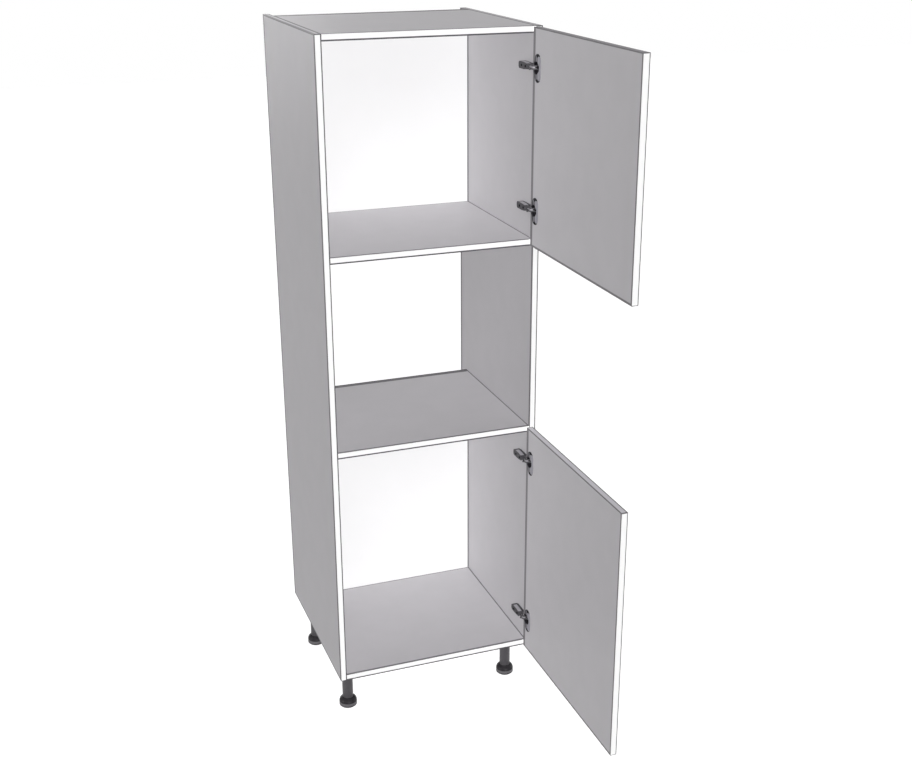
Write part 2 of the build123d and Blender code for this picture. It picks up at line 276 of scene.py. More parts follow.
def mesh_object(name: str, surface: Surface, crease: float = 0.0) -> bpy.types.Object:
    """Makes an object at the origin from a surface.

    A corner number that the welding made equal to another of its quad is left out, and so is a
    quad of which fewer than three corners remain.

    Args:
        name: name of the object.
        surface: the points and quads, in the object's place.
        crease: angle in degrees over which an edge stays sharp, for a surface without normals.

    Returns:
        The new object, linked to the scene.
    """
    mesh = bpy.data.meshes.new(name)
    faces = [list(dict.fromkeys(quad)) for quad in surface.quads.tolist()]
    mesh.from_pydata(surface.points.tolist(), [], [face for face in faces if len(face) > 2])
    if surface.from_low is not None:
        for layer_name, distances in zip(BORDER_LAYERS, (surface.from_low, surface.from_high)):
            layer = mesh.uv_layers.new(name=layer_name)
            layer.data.foreach_set("uv", distances.reshape(-1).astype(np.float32))
    mesh.shade_smooth()
    if surface.normals is None:
        mesh.set_sharp_from_angle(angle=math.radians(crease))
    else:
        mesh.normals_split_custom_set_from_vertices(surface.normals.tolist())
    made = bpy.data.objects.new(name, mesh)
    bpy.context.scene.collection.objects.link(made)
    return made


class NodeGraph:
    """A node tree, with short ways to add and join its nodes."""

    def __init__(self, tree: bpy.types.NodeTree) -> None:
        """Takes the tree that is worked on."""
        self.tree = tree

    def add(self, kind: str, **settings: object) -> bpy.types.Node:
        """Adds a node and sets its options.

        Args:
            kind: Blender's name for the node type.
            **settings: options of the node by name.

        Returns:
            The new node.
        """
        node = self.tree.nodes.new(kind)
        for option, choice in settings.items():
            setattr(node, option, choice)
        return node

    def feed(self, socket: Socket, value: Union[Value, tuple]) -> None:
        """Sets an input to a constant or joins another node's output to it.

        Args:
            socket: the input.
            value: the constant or the output.
        """
        if isinstance(value, bpy.types.NodeSocket):
            self.tree.links.new(value, socket)
        else:
            socket.default_value = value

    def maths(self, operation: str, first: Value, second: Value = 0.0) -> Socket:
        """Adds a calculation on two values.

        Args:
            operation: Blender's name for the calculation.
            first: first value or socket.
            second: second value or socket.

        Returns:
            The result's socket.
        """
        node = self.add("ShaderNodeMath", operation=operation)
        self.feed(node.inputs[0], first)
        self.feed(node.inputs[1], second)
        return node.outputs[0]

    def chain(self, operation: str, values: Sequence[Socket]) -> Socket:
        """Takes several values through one calculation in turn, such as to find the least."""
        return functools.reduce(functools.partial(self.maths, operation), values)

    def spread(self, value: Socket, taken: Span, given: Span = (0.0, 1.0)) -> Socket:
        """Maps a range of values smoothly on another.

        Args:
            value: the socket with the values.
            taken: low and high end of the range that is mapped.
            given: low and high end of the result.

        Returns:
            The result's socket.
        """
        node = self.add("ShaderNodeMapRange", interpolation_type="SMOOTHSTEP")
        self.feed(node.inputs["Value"], value)
        for socket_name, number in zip(("From Min", "From Max", "To Min", "To Max"), taken + given):
            self.feed(node.inputs[socket_name], number)
        return node.outputs["Result"]

    def blend(self, share: Value, first: Union[Socket, tuple], second: Union[Socket, tuple]) -> Socket:
        """Mixes two colours.

        Inputs 6 and 7 and output 2 are the ones that the mix node keeps for colours.

        Args:
            share: how much of the second colour shows, from 0 to 1.
            first: colour or socket shown where the share is 0.
            second: colour or socket shown where the share is 1.

        Returns:
            The mixed colour's socket.
        """
        node = self.add("ShaderNodeMix", data_type="RGBA")
        self.feed(node.inputs[0], share)
        self.feed(node.inputs[6], first)
        self.feed(node.inputs[7], second)
        return node.outputs[2]

    def shades(self, pattern: Socket, taken: Span, first: Colour, second: Colour) -> Socket:
        """Passes from one screen colour to another while a pattern runs through the taken span."""
        return self.blend(self.spread(pattern, taken), linear(first), linear(second))

    def place(self, stretch: Point = (1.0, 1.0, 1.0), middle: Point = (0.0, 0.0, 0.0)) -> Socket:
        """Gives the place on the object in metres.

        Args:
            stretch: factor along each axis.
            middle: the place that counts as nought, after the stretch.

        Returns:
            The place's socket.
        """
        coordinates = self.add("ShaderNodeTexCoord")
        mapping = self.add("ShaderNodeMapping")
        mapping.inputs["Location"].default_value = [-part for part in middle]
        mapping.inputs["Scale"].default_value = stretch
        self.feed(mapping.inputs["Vector"], coordinates.outputs["Object"])
        return mapping.outputs["Vector"]

    def axes(self, vector: Socket) -> dict[Axis, Socket]:
        """Splits a vector into its parts.

        Args:
            vector: the vector's socket.

        Returns:
            The sockets of its parts, by axis.
        """
        parts = self.add("ShaderNodeSeparateXYZ")
        self.feed(parts.inputs["Vector"], vector)
        return {axis: parts.outputs[axis.name] for axis in Axis}

    def noise(self, place: Socket, scale: float, detail: float = 2.0) -> Socket:
        """Adds cloudy noise.

        Args:
            place: where the noise is read.
            scale: clouds to a metre.
            detail: number of finer layers.

        Returns:
            The noise value's socket.
        """
        node = self.add("ShaderNodeTexNoise")
        self.feed(node.inputs["Vector"], place)
        self.feed(node.inputs["Scale"], scale)
        self.feed(node.inputs["Detail"], detail)
        return node.outputs["Fac"]

    def rolling_marks(self) -> Socket:
        """Adds the fine marks that rolling leaves on sheet steel, drawn out along z."""
        return self.noise(self.place(stretch=(1.0, 1.0, 0.06)), scale=2600.0)

    def backdrop_ray(self) -> Socket:
        """Gives one for rays that see the background and nought for rays that light things."""
        path = self.add("ShaderNodeLightPath")
        kinds = ("Is Camera Ray", "Is Glossy Ray", "Is Transmission Ray")
        return self.chain("MAXIMUM", [path.outputs[kind] for kind in kinds])


class MaterialGraph(NodeGraph):
    """The node tree of one new material, with its surface shader."""

    def __init__(self, name: str) -> None:
        """Starts the material with one plain surface shader.

        Args:
            name: name of the material.
        """
        self.material = bpy.data.materials.new(name)
        self.material.use_nodes = True
        super().__init__(self.material.node_tree)
        self.shader = self.tree.nodes["Principled BSDF"]

    def coat(self, shade: Socket, gloss: Value, sheen: float, metallic: float = 0.0) -> None:
        """Sets how the surface shader looks.

        Args:
            shade: the base colour's socket.
            gloss: roughness, from 0 to 1.
            sheen: strength of the reflection, from 0 to 1.
            metallic: share of bare metal, from 0 to 1.
        """
        self.feed(self.shader.inputs["Base Color"], shade)
        self.feed(self.shader.inputs["Roughness"], gloss)
        self.feed(self.shader.inputs["Specular IOR Level"], sheen)
        self.feed(self.shader.inputs["Metallic"], metallic)

    def relief(self, height: Socket, strength: float, depth: float) -> None:
        """Raises the surface by a height pattern.

        Args:
            height: the pattern's socket.
            strength: how strongly the pattern shows, from 0 to 1.
            depth: greatest height in metres.
        """
        bump = self.add("ShaderNodeBump")
        self.feed(bump.inputs["Strength"], strength)
        self.feed(bump.inputs["Distance"], depth)
        self.feed(bump.inputs["Height"], height)
        self.feed(self.shader.inputs["Normal"], bump.outputs["Normal"])


@dataclass(frozen=True)
class FacedBoard:
    """Melamine face or edging strip, with a darker line along each border: partly a joint line, partly
    painted shade along joints, gaps and thin ends.
    """

    name: str
    face: Colour
    line: Colour
    roughness: float = 0.5
    unevenness: float = 0.05
    mottle: float = 0.012
    sheen: float = 0.12

    def nearest(self, graph: MaterialGraph) -> Socket:
        """Reads the distance from the nearest border, in widths of the line there.

        Args:
            graph: the node tree that asks.

        Returns:
            The distance's socket.
        """
        distances = []
        for layer_name in BORDER_LAYERS:
            pair = graph.axes(graph.add("ShaderNodeUVMap", uv_map=layer_name).outputs["UV"])
            distances += [pair[Axis.X], pair[Axis.Y]]
        return graph.chain("MINIMUM", distances)

    def material(self) -> bpy.types.Material:
        """Makes the finish: faint clouds, a pearl relief and the dark border lines, partly painted
        shade.

        Returns:
            The new material.
        """
        graph = MaterialGraph(self.name)
        place = graph.place()
        clouds = graph.noise(place, scale=14.0, detail=4.0)
        red, green, blue, alpha = linear(self.face)
        darker, lighter = (
            (red * factor, green * factor, blue * factor, alpha)
            for factor in (1.0 - self.mottle, 1.0 + self.mottle)
        )
        face = graph.blend(graph.spread(clouds, SOFT_NOISE), darker, lighter)
        # Dark border line: partly a joint line, partly painted shade along joints, gaps and thin ends.
        inside = graph.spread(self.nearest(graph), LINE_EDGE)
        pearl = graph.noise(place, scale=900.0, detail=1.0)
        limits = (self.roughness - self.unevenness, self.roughness + self.unevenness)
        gloss = graph.spread(pearl, SOFT_NOISE, limits)
        graph.coat(graph.blend(inside, linear(self.line), face), gloss, self.sheen)
        graph.relief(pearl, strength=0.08, depth=0.0002)
        return graph.material


@dataclass(frozen=True, kw_only=True)
class BoredBoard(FacedBoard):
    """Faced board that keeps the frame's bores; its dark border lines, partly painted shade, follow the
    borders of its own box.
    """

    low: Point
    high: Point
    inner_line: BorderLine
    outer_line: BorderLine

    def across_face(self, graph: MaterialGraph, place: dict[Axis, Socket], line: BorderLine) -> Socket:
        """Works out the distance from the nearest border of a broad face.

        Args:
            graph: the node tree that asks.
            place: the place on the board, by axis.
            line: widths of the dark border line on that face, partly joint line and partly painted
                shade.

        Returns:
            The distance's socket, in widths of the line.
        """
        distances = []
        for axis in (Axis.Y, Axis.Z):
            from_low = graph.maths("SUBTRACT", place[axis], self.low[axis.value])
            from_high = graph.maths("SUBTRACT", self.high[axis.value], place[axis])
            distances.append(graph.maths("DIVIDE", from_low, line.low[axis.value]))
            distances.append(graph.maths("DIVIDE", from_high, line.high[axis.value]))
        return graph.chain("MINIMUM", distances)

    def nearest(self, graph: MaterialGraph) -> Socket:
        """Takes the inner face's distance on the low half of x and the outer face's beyond it.

        Args:
            graph: the node tree that asks.

        Returns:
            The distance's socket, in widths of the line.
        """
        place = graph.axes(graph.place())
        inner = self.across_face(graph, place, self.inner_line)
        outer = self.across_face(graph, place, self.outer_line)
        beyond = graph.maths("GREATER_THAN", place[Axis.X], (self.low[0] + self.high[0]) / 2)
        difference = graph.maths("SUBTRACT", outer, inner)
        return graph.maths("ADD", inner, graph.maths("MULTIPLY", beyond, difference))


@dataclass(frozen=True)
class MouldedPlastic:
    """Dark moulded plastic with a fine spark-eroded grain and, where asked for, a painted highlight band
    on its rim.
    """

    name: str
    body: Colour
    grain: Colour
    roughness: float = 0.38
    smoother: float = 0.06
    rougher: float = 0.08
    sheen: float = 0.1
    # Painted highlight: a paler band round the rim, for the reflection of the lamps.
    rim: Optional[Colour] = None
    painted_highlight_height: float = 0.0105
    painted_highlight_half: float = 0.0036
    painted_highlight_fade: float = 0.0015

    def material(self) -> bpy.types.Material:
        """Makes the finish: a speckled colour, a painted highlight band on the rim if any, uneven gloss
        and a relief.

        Returns:
            The new material.
        """
        graph = MaterialGraph(self.name)
        place = graph.place()
        speckle = graph.noise(place, scale=1500.0)
        clouds = graph.noise(place, scale=60.0, detail=3.0)
        shade = graph.shades(speckle, SPECK_NOISE, self.body, self.grain)
        # Painted highlight: a paler band round the rim's height.
        if self.rim:
            height = graph.axes(graph.place(middle=(0.0, 0.0, self.painted_highlight_height)))[Axis.Z]
            edge = (self.painted_highlight_half, self.painted_highlight_half + self.painted_highlight_fade)
            beyond = graph.spread(graph.maths("ABSOLUTE", height), edge)
            shade = graph.blend(beyond, linear(self.rim), shade)
        limits = (self.roughness - self.smoother, self.roughness + self.rougher)
        gloss = graph.spread(clouds, SOFT_NOISE, limits)
        graph.coat(shade, gloss, self.sheen)
        graph.relief(speckle, strength=0.25, depth=0.0002)
        return graph.material


@dataclass(frozen=True)
class PlatedSteel:
    """Plated steel with fine rolling marks."""

    name: str
    plate: Colour
    mark: Colour
    roughness: float = 0.34
    smoother: float = 0.06
    rougher: float = 0.1
    metallic: float = 0.2
    sheen: float = 0.1

    def material(self) -> bpy.types.Material:
        """Makes the finish: streaks of two shades, uneven gloss and a streaked relief.

        Returns:
            The new material.
        """
        graph = MaterialGraph(self.name)
        streaks = graph.rolling_marks()
        clouds = graph.noise(graph.place(), scale=160.0, detail=3.0)
        shade = graph.shades(streaks, STREAK_NOISE, self.plate, self.mark)
        limits = (self.roughness - self.smoother, self.roughness + self.rougher)
        gloss = graph.spread(clouds, SOFT_NOISE, limits)
        graph.coat(shade, gloss, self.sheen, self.metallic)
        graph.relief(streaks, strength=0.15, depth=0.0001)
        return graph.material


@dataclass(frozen=True)
class Fade:
    """A stretch along one axis over which a pressed part passes into its painted shade."""

    axis: Axis
    clear: float
    dark: float
    depth: float = 1.0
    both_ways: bool = False


@dataclass(frozen=True)
class PressedSteel:
    """Plated pressing with painted shade faded in where its sheet sinks or turns away."""

    name: str
    plate: Colour
    painted_shade: Colour
    middle: Point
    fades: tuple[Fade, ...]
    dulled: float = 0.92
    gloss: Span = (0.36, 0.48)
    metallic: float = 0.12
    sheen: float = 0.08

    def material(self) -> bpy.types.Material:
        """Makes the finish: faint streaks, uneven gloss and a fade into painted shade.

        Returns:
            The new material.
        """
        graph = MaterialGraph(self.name)
        streaks = graph.rolling_marks()
        dull = tuple(part * self.dulled for part in self.plate)
        plate = graph.shades(streaks, STREAK_NOISE, self.plate, dull)
        place = graph.axes(graph.place(middle=self.middle))
        shares = []
        for fade in self.fades:
            reach = graph.maths("ABSOLUTE", place[fade.axis]) if fade.both_ways else place[fade.axis]
            shares.append(graph.spread(reach, (fade.clear, fade.dark), (0.0, fade.depth)))
        # Painted shade: the plate fades into the dark tone over each stretch.
        shade = graph.blend(graph.chain("MAXIMUM", shares), plate, linear(self.painted_shade))
        graph.coat(shade, graph.spread(streaks, SOFT_NOISE, self.gloss), self.sheen, self.metallic)
        graph.relief(streaks, strength=0.15, depth=0.0001)
        return graph.material


@dataclass(frozen=True)
class TurnedBeech:
    """Beech dowel wood with grain along its length."""

    name: str
    light: Colour
    dark: Colour
    gloss: Span = (0.55, 0.7)
    sheen: float = 0.5

    def material(self) -> bpy.types.Material:
        """Makes the finish: grain stretched along the dowel and a matching relief.

        Returns:
            The new material.
        """
        graph = MaterialGraph(self.name)
        grain = graph.noise(graph.place(stretch=(0.08, 1.0, 1.0)), scale=1800.0, detail=3.0)
        shade = graph.shades(grain, STREAK_NOISE, self.light, self.dark)
        graph.coat(shade, graph.spread(grain, SOFT_NOISE, self.gloss), self.sheen)
        graph.relief(grain, strength=0.3, depth=0.0002)
        return graph.material


class Finish(Enum):
    """The finishes of the cabinet, each named after the part of it that wears it."""

    # Each line colour is that of the dark border line: partly a joint line, partly painted shade.
    BOARD = FacedBoard("grey_board_face", face=(171, 169, 172), line=(112, 110, 113), sheen=0.08)
    # Painted shade: the door's level strips wear a grey copy of the white edging, for the shade on its
    # ends.
    DOOR_END_PAINTED_SHADE = FacedBoard("door_end_painted_shade", face=(194, 192, 197), line=(104, 102, 105))
    BACK = FacedBoard("white_back_face", face=(235, 235, 235), line=(88, 86, 89), mottle=0.003)
    EDGING = FacedBoard(
        "white_edge_band", face=(252, 252, 252), line=(84, 82, 85), roughness=0.4, mottle=0.006
    )
    STEM = MouldedPlastic("leg_stem_plastic", body=(74, 72, 75), grain=(88, 86, 89))
    # The foot's rim colour is a painted highlight band.
    FOOT = MouldedPlastic(
        "leg_foot_plastic",
        body=(40, 38, 41),
        grain=(50, 48, 51),
        roughness=0.3,
        sheen=0.08,
        rim=(98, 96, 99),
    )
    PLATE = PlatedSteel("hinge_plate_steel", plate=(88, 87, 90), mark=(70, 69, 72))
    LINK = PlatedSteel("hinge_link_steel", plate=(84, 83, 86), mark=(62, 61, 64), roughness=0.4)
    SCREW = PlatedSteel("dark_screw_steel", plate=(26, 25, 28), mark=(18, 17, 20), roughness=0.5)
    DOWEL = TurnedBeech("dowel_beech", light=(214, 184, 138), dark=(186, 150, 104))


def put_on(piece: bpy.types.Object, material: bpy.types.Material) -> None:
    """Puts one material on every slot of a piece.

    Args:
        piece: the object to dress.
        material: the material that it gets.
    """
    if not piece.material_slots:
        piece.data.materials.append(material)
    for slot in piece.material_slots:
        slot.material = material


class Wardrobe:
    """Makes each finish once and hands it out."""

    def __init__(self) -> None:
        """Starts with no finish made."""
        self.made: dict[Finish, bpy.types.Material] = {}

    def get(self, finish: Finish) -> bpy.types.Material:
        """Gives the material of a finish, made on first use.

        Args:
            finish: the finish.

        Returns:
            Its material.
        """
        if finish not in self.made:
            self.made[finish] = finish.value.material()
        return self.made[finish]

    def dress(self, piece: bpy.types.Object, finish: Finish) -> None:
        """Puts a finish on every material slot of a piece."""
        put_on(piece, self.get(finish))

    def dress_nodes(self, names: Sequence[str], finish: Finish) -> int:
        """Puts a finish on solids of the frame that keep their shape.

        Args:
            names: names of the frame's nodes.
            finish: the finish that they get.

        Returns:
            The number of nodes dressed.
        """
        for name in names:
            self.dress(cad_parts[name], finish)
        return len(names)


@dataclass
class Carcass:
    """Sides, cross boards and back panels, with the white band on each front edge."""

    wardrobe: Wardrobe
    sides: tuple[str, ...] = ("side_left", "side_right")
    tops: tuple[str, ...] = ("top_panel",)
    shelves: tuple[str, ...] = ("upper_shelf", "oven_shelf", "base_panel")
    backs: tuple[str, ...] = ("back_panel_upper", "back_panel_lower")
    arris: float = 0.0004
    # Widths of the dark border lines: partly joint lines, partly painted shade along joints, rear edges
    # and thin ends.
    side_line: BorderLine = BorderLine(low=(0.0056, 0.0065, 0.006), high=(0.0056, 0.012, 0.004))
    top_line: BorderLine = BorderLine(low=(0.0026, 0.0062, 0.0026), high=(0.0026, 0.014, 0.0026))
    shelf_line: BorderLine = BorderLine(low=(0.0026, 0.0058, 0.0026), high=(0.0044, 0.004, 0.0026))
    side_band_line: BorderLine = BorderLine(low=(0.0016, 0.0018, 0.0022), high=(0.003, 0.0018, 0.0022))
    cross_band_line: BorderLine = BorderLine(low=(0.0003, 0.0018, 0.0041), high=(0.0003, 0.0018, 0.0008))
    back_line: BorderLine = BorderLine(low=(0.0034, 0.012, 0.0034), high=(0.0034, 0.012, 0.0034))

    def slab(self, node: str, finish: Finish, slot: str, line: BorderLine) -> bpy.types.Object:
        """Replaces a board of the frame by a rounded slab.

        Args:
            node: name of the frame's node.
            finish: finish of the slab.
            slot: the record's material slot; not used.
            line: widths of the dark border line, partly joint line and partly painted shade.

        Returns:
            The new piece.
        """
        low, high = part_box(node)
        piece = mesh_object(node + "_slab", rounded_slab(tuple(low), tuple(high), self.arris, line))
        self.wardrobe.dress(piece, finish)
        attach(piece, "carcass")
        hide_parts(node)
        return piece

    def build(self) -> list[bpy.types.Object]:
        """Builds all boards, back panels and edge bands and dresses the dowels.

        Returns:
            The new pieces.
        """
        groups = (
            (self.sides, self.side_line, self.side_band_line),
            (self.tops, self.top_line, self.cross_band_line),
            (self.shelves, self.shelf_line, self.cross_band_line),
        )
        pieces = []
        for names, line, band_line in groups:
            for name in names:
                pieces.append(self.slab(name, Finish.BOARD, "board_face", line))
                pieces.append(self.slab(name + "_edging", Finish.EDGING, "white_edging", band_line))
        for name in self.backs:
            pieces.append(self.slab(name, Finish.BACK, "back_panel_face", self.back_line))
        self.wardrobe.dress_nodes(["carcass_dowels"], Finish.DOWEL)
        return pieces


# The upper door's top end is seen so flat that the painted shade lines along both its borders merge.
MERGED_LINE = BorderLine(low=(0.008, 0.003, 0.0018), high=(0.011, 0.003, 0.0018))


@dataclass
class Door:
    """One door: the bored leaf keeps the frame's shape, with strips round its four edges."""

    wardrobe: Wardrobe
    name: str
    arris: float = 0.0004
    strip: float = 0.001
    # The leaf's face is a lighter copy of the board face: painted light for the bounce light the open
    # door lacks.
    face: Colour = (177, 175, 178)
    line: Colour = (112, 110, 113)
    # Dark border lines: partly joint lines, partly painted shade; the wide high-y line on the inner face
    # paints the shadow gap at the carcass.
    inner_line: BorderLine = BorderLine(low=(0.0026, 0.0038, 0.0052), high=(0.0026, 0.013, 0.0018))
    outer_line: BorderLine = BorderLine(low=(0.0026, 0.002, 0.002), high=(0.0026, 0.002, 0.002))
    upright_line: BorderLine = BorderLine(low=(0.0008, 0.0018, 0.0018), high=(0.0024, 0.0018, 0.0018))
    level_line: BorderLine = BorderLine(low=(0.0018, 0.003, 0.0018), high=(0.0036, 0.003, 0.0018))

    def dress_leaf(self) -> None:
        """Gives the leaf its faced finish, with dark border lines, partly painted shade, along the
        borders of both broad faces.
        """
        low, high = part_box(self.name)
        finish = BoredBoard(
            name="grey_face_" + self.name,
            face=self.face,
            line=self.line,
            low=tuple(low),
            high=tuple(high),
            inner_line=self.inner_line,
            outer_line=self.outer_line,
        )
        put_on(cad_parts[self.name], finish.material())

    def rim(self) -> bpy.types.Object:
        """Builds the strips round the leaf: two upright ones in white edging and two level ones between
        them in a grey copy of it, which is painted shade.

        Returns:
            The four strips as one piece.
        """
        low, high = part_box(self.name)
        rim_low, rim_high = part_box(self.name + "_edging")
        upright = (
            ((low.x, rim_low.y, rim_low.z), (high.x, rim_low.y + self.strip, rim_high.z)),
            ((low.x, rim_high.y - self.strip, rim_low.z), (high.x, rim_high.y, rim_high.z)),
        )
        level = (
            ((low.x, low.y, rim_low.z), (high.x, high.y, rim_low.z + self.strip)),
            ((low.x, low.y, rim_high.z - self.strip), (high.x, high.y, rim_high.z)),
        )
        slabs = [rounded_slab(start, end, self.arris, self.upright_line) for start, end in upright]
        upright_faces = sum(len(slab.quads) for slab in slabs)
        slabs += [rounded_slab(start, end, self.arris, self.level_line) for start, end in level]
        rim = mesh_object(self.name + "_strips", joined(slabs))
        self.wardrobe.dress(rim, Finish.EDGING)
        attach(rim, self.name)
        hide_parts(self.name + "_edging")
        # The level strips get the grey copy of the edging: painted shade.
        rim.data.materials.append(self.wardrobe.get(Finish.DOOR_END_PAINTED_SHADE))
        slot_numbers = (np.arange(len(rim.data.polygons)) >= upright_faces).astype(np.int32)
        rim.data.polygons.foreach_set("material_index", slot_numbers)
        return rim

    def build(self) -> list[bpy.types.Object]:
        """Dresses the leaf and builds its strips, and returns the new pieces."""
        self.dress_leaf()
        return [self.rim()]


@dataclass
class Leg:
    """One adjustable leg: socket, stem and foot with its grooved shank."""

    wardrobe: Wardrobe
    corner: Corner
    stem_wall: float = 0.0025
    lip: float = 0.0006
    foot_radius: float = 0.0265
    foot_rim: float = 0.015
    foot_top: float = 0.029
    collar: float = 0.017
    chamfer: float = 0.0035
    bulge: float = 0.002
    shank: float = 0.0132
    shank_length: float = 0.070
    groove_depth: float = 0.001
    groove_width: float = 0.002
    groove_pitch: float = 0.006
    groove_count: int = 10
    sides: int = 64
    foot_crease: float = 38.0
    stem_crease: float = 50.0

    def centre(self) -> PlanePoint:
        """Gives x and y of the leg's middle line."""
        low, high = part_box("leg_foot_" + self.corner)
        return ((low.x + high.x) / 2, (low.y + high.y) / 2)

    def dome(self, steps: int = 10) -> list[PlanePoint]:
        """Works out the foot's dome, a curve from its rim to its collar.

        The curve is quadratic. Its handle is the middle between rim and collar, moved out and up
        by twice the bulge, so that the curve's own middle is moved by the bulge.

        Args:
            steps: number of points along the curve.

        Returns:
            Radius and height of each point, from the rim upwards.
        """
        start = np.array([self.foot_radius, self.foot_rim])
        end = np.array([self.collar, self.foot_top])
        handle = (start + end) / 2 + 2 * self.bulge
        share = np.linspace(0.0, 1.0, steps)[:, None]
        curve = (1 - share) ** 2 * start + 2 * share * (1 - share) * handle + share**2 * end
        return [tuple(point) for point in curve]

    def shank_outline(self) -> list[PlanePoint]:
        """Works out the shank's outline: plain lands between square grooves, up to its end.

        Returns:
            Radius and height of each point, from the dome upwards.
        """
        starts = self.foot_top + self.groove_pitch * np.arange(1, self.groove_count + 1)
        core = self.shank - self.groove_depth
        outline = [(self.shank, self.foot_top)]
        for start in starts:
            outline += [(self.shank, start), (core, start)]
            outline += [(core, start + self.groove_width), (self.shank, start + self.groove_width)]
        end = self.foot_top + self.shank_length
        return outline + [(self.shank, end - self.lip), (self.shank - self.lip, end), (0.0, end)]

    def foot(self) -> bpy.types.Object:
        """Builds the foot with its dome and its shank.

        Returns:
            The new piece.
        """
        sole = [(0.0, 0.0), (self.foot_radius - self.chamfer, 0.0), (self.foot_radius, self.chamfer)]
        solid = turned_solid(sole + self.dome() + self.shank_outline(), self.centre(), self.sides)
        foot = mesh_object("foot_" + self.corner, solid, self.foot_crease)
        self.wardrobe.dress(foot, Finish.FOOT)
        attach(foot, "foot_" + self.corner)
        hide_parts("leg_foot_" + self.corner)
        return foot

    def stem(self) -> bpy.types.Object:
        """Builds the stem, a tube whose lower end has small bevels.

        Returns:
            The new piece.
        """
        low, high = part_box("leg_stem_" + self.corner)
        outer = (high.x - low.x) / 2
        inner = outer - self.stem_wall
        ring = [
            (inner + self.lip, low.z),
            (outer - self.lip, low.z),
            (outer, low.z + self.lip),
            (outer, high.z),
            (inner, high.z),
            (inner, low.z + self.lip),
            (inner + self.lip, low.z),
        ]
        solid = turned_solid(ring, self.centre(), self.sides)
        stem = mesh_object("stem_" + self.corner, solid, self.stem_crease)
        self.wardrobe.dress(stem, Finish.STEM)
        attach(stem, "carcass")
        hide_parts("leg_stem_" + self.corner)
        return stem

    def build(self) -> list[bpy.types.Object]:
        """Dresses the socket and builds the foot and the stem, and returns the new pieces."""
        self.wardrobe.dress_nodes(["leg_socket_" + self.corner], Finish.STEM)
        return [self.foot(), self.stem()]


@dataclass
class Hinge:
    """One concealed hinge: arm, mounting plate, links and cup keep the frame's shape.

    The fades of painted shade on the arm count from its high corner in x and y and from its middle in z.
    Those of the cup count from its low side in x, from the flange's middle in y and from its middle
    in z, and those of the link from its middle.
    """

    wardrobe: Wardrobe
    place: HingePlace
    flange_half: float = 0.019
    bright: Colour = (186, 184, 192)
    grey: Colour = (150, 148, 153)
    link: Colour = (150, 148, 153)
    shadow: Colour = (26, 24, 28)
    # Painted shade on the arm: its root, web, rear end, nose and underside.
    arm_fades: tuple[Fade, ...] = (
        Fade(Axis.X, clear=-0.006, dark=-0.003, depth=0.9),
        Fade(Axis.X, clear=-0.0150, dark=-0.0163, depth=0.82),
        Fade(Axis.Y, clear=-0.015, dark=-0.009, depth=0.9),
        Fade(Axis.Y, clear=-0.049, dark=-0.053, depth=0.88),
        Fade(Axis.Z, clear=-0.0045, dark=-0.007, depth=0.9),
    )
    # Painted shade on the cup: the bowl, the flange's border, a groove, parts of the flange and its
    # ends.
    cup_fades: tuple[Fade, ...] = (
        Fade(Axis.X, clear=0.0016, dark=0.003),
        Fade(Axis.Y, clear=0.009, dark=0.0125, depth=0.95),
        Fade(Axis.Y, clear=0.003, dark=0.0012, depth=0.85, both_ways=True),
        Fade(Axis.Y, clear=0.001, dark=0.003, depth=0.66),
        Fade(Axis.Y, clear=-0.003, dark=-0.005, depth=0.42),
        Fade(Axis.Z, clear=0.028, dark=0.031, both_ways=True),
    )
    # Painted shade along both edges of the inner link.
    link_fades: tuple[Fade, ...] = (Fade(Axis.Z, clear=0.002, dark=0.003, depth=0.85, both_ways=True),)

    def arm_steel(self) -> PressedSteel:
        """Works out the arm's finish: painted shade on its root, rear end, nose and underside, and a web
        darkened by painted shade.

        Returns:
            The finish.
        """
        low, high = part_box("hinge_arm_" + self.place)
        middle = (high.x, high.y, (low.z + high.z) / 2)
        name = "hinge_arm_steel_" + self.place
        return PressedSteel(name, self.grey, self.shadow, middle, self.arm_fades)

    def cup_steel(self) -> PressedSteel:
        """Works out the cup's finish: painted shade in the bowl, at the flange's ends and border, along
        a groove and over parts of the flange.

        Returns:
            The finish.
        """
        low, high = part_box("hinge_cup_" + self.place)
        middle = (low.x, low.y + self.flange_half, (low.z + high.z) / 2)
        name = "hinge_cup_steel_" + self.place
        return PressedSteel(name, self.bright, self.shadow, middle, self.cup_fades)

    def link_steel(self) -> PressedSteel:
        """Works out the inner link's finish: plate tone along its middle, painted shade along both
        edges.

        Returns:
            The finish.
        """
        low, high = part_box("hinge_inner_link_" + self.place)
        name = "hinge_inner_link_steel_" + self.place
        return PressedSteel(name, self.link, self.shadow, tuple((low + high) / 2), self.link_fades)

    def build(self) -> int:
        """Dresses the hinge's solids.

        Returns:
            The number of nodes dressed.
        """
        pressings = {
            "hinge_arm_": self.arm_steel(),
            "hinge_inner_link_": self.link_steel(),
            "hinge_cup_": self.cup_steel(),
        }
        for start, finish in pressings.items():
            put_on(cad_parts[start + self.place], finish.material())
        plates = self.wardrobe.dress_nodes(["hinge_plate_" + self.place], Finish.PLATE)
        links = self.wardrobe.dress_nodes(["hinge_outer_link_" + self.place], Finish.LINK)
        return len(pressings) + plates + links


@dataclass
class Fasteners:
    """Screws and pins of the hinges and screws of the leg sockets."""

    wardrobe: Wardrobe
    screws: tuple[str, ...] = (
        "hinge_plate_screws",
        "hinge_arm_screws",
        "leg_socket_screws",
        "door_upper_cup_screws",
        "door_lower_cup_screws",
    )
    pins: tuple[str, ...] = ("hinge_arm_pins", "door_upper_cup_pins", "door_lower_cup_pins")

    def build(self) -> int:
        """Dresses the screws and pins, and returns the number of nodes dressed."""
        screws = self.wardrobe.dress_nodes(self.screws, Finish.SCREW)
        return screws + self.wardrobe.dress_nodes(self.pins, Finish.LINK)


